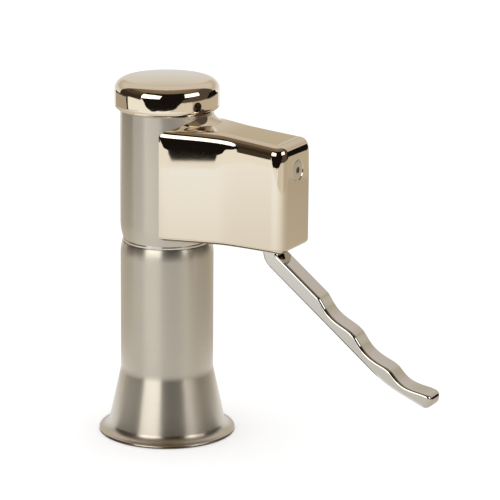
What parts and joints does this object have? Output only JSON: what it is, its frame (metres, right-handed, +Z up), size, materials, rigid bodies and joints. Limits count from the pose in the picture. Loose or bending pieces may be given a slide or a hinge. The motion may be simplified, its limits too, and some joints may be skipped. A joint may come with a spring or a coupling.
{
  "type": "soap pump dispenser",
  "caption": "Hand-held soap pump with a bell foot, a round barrel and cap, and a finger-grooved squeeze lever in a side housing that drives a rod, piston and spout valve.",
  "frame": {"origin": "centre of the bell foot's circle, on the surface that it stands on", "axes": "+Z up along the body's axis, +X from that axis towards the lever, +Y across the lever"},
  "size_m": [0.1504, 0.0564, 0.1485],
  "materials": {
    "satin_steel": "stainless steel tube, fine circumferential satin brushing",
    "polished_shell": "polished and plated casting, pale champagne, mirror finish",
    "lever_chrome": "polished steel casting, mirror finish",
    "screw_steel": "turned stainless screws",
    "inner_steel": "turned stainless steel, ground where it slides",
    "spring_steel": "stainless spring wire",
    "black_acetal": "machined black acetal",
    "bronze": "turned bearing bronze",
    "frame_aluminium": "cast and machined aluminium",
    "seal_rubber": "moulded nitrile rubber",
    "silicone": "moulded translucent silicone"
  },
  "bodies": {
    "body": {"lower_body": "satin_steel", "reservoir_floor": "black_acetal", "standpipe_seal": "seal_rubber", "outlet_nozzle": "inner_steel", "duckbill_valve": "silicone", "valve_ring": "inner_steel", "seam_ring": "satin_steel", "coupling_ring": "inner_steel", "neck_seal": "seal_rubber", "cylinder_head": "inner_steel", "rod_seal": "seal_rubber", "gland_nut": "bronze", "pump_cylinder": "inner_steel", "cylinder_foot": "black_acetal", "foot_seal": "seal_rubber", "inlet_valve": "silicone", "return_spring": "spring_steel", "upper_barrel": "satin_steel", "cap": "polished_shell", "cap_set_screw": "screw_steel", "lever_frame": "frame_aluminium", "frame_screws": "screw_steel", "pivot_pin": "inner_steel", "pivot_clips": "inner_steel", "lever_housing": "polished_shell", "housing_screw": "screw_steel"},
    "lever": {"lever": "lever_chrome", "pivot_bushes": "bronze"},
    "rod": {"pump_rod": "inner_steel", "piston": "black_acetal", "piston_seal": "seal_rubber", "piston_valve": "silicone", "crosshead": "inner_steel", "rod_pin": "inner_steel", "crosshead_pin": "inner_steel", "crosshead_clips": "inner_steel", "guide_disc": "black_acetal", "guide_nut": "inner_steel"}
  },
  "joints": [
    {"name": "lever_pivot", "type": "hinge", "parent": "body", "child": "lever", "pos_m": [0.048, 0, 0.106], "axis": [0, 1, 0], "range_deg": [0, 25.8], "stiffness_Nm_per_rad": 3.72, "springref_deg": -5.73},
    {"name": "rod_slide", "type": "slide", "parent": "body", "child": "rod", "axis": [0, 0, 1], "range_m": [0, 0.022], "deforming": ["return_spring"]}
  ],
  "couplings": [
    {"joint": "rod_slide", "follows": "lever_pivot", "m_per_rad": 0.048829}
  ]
}
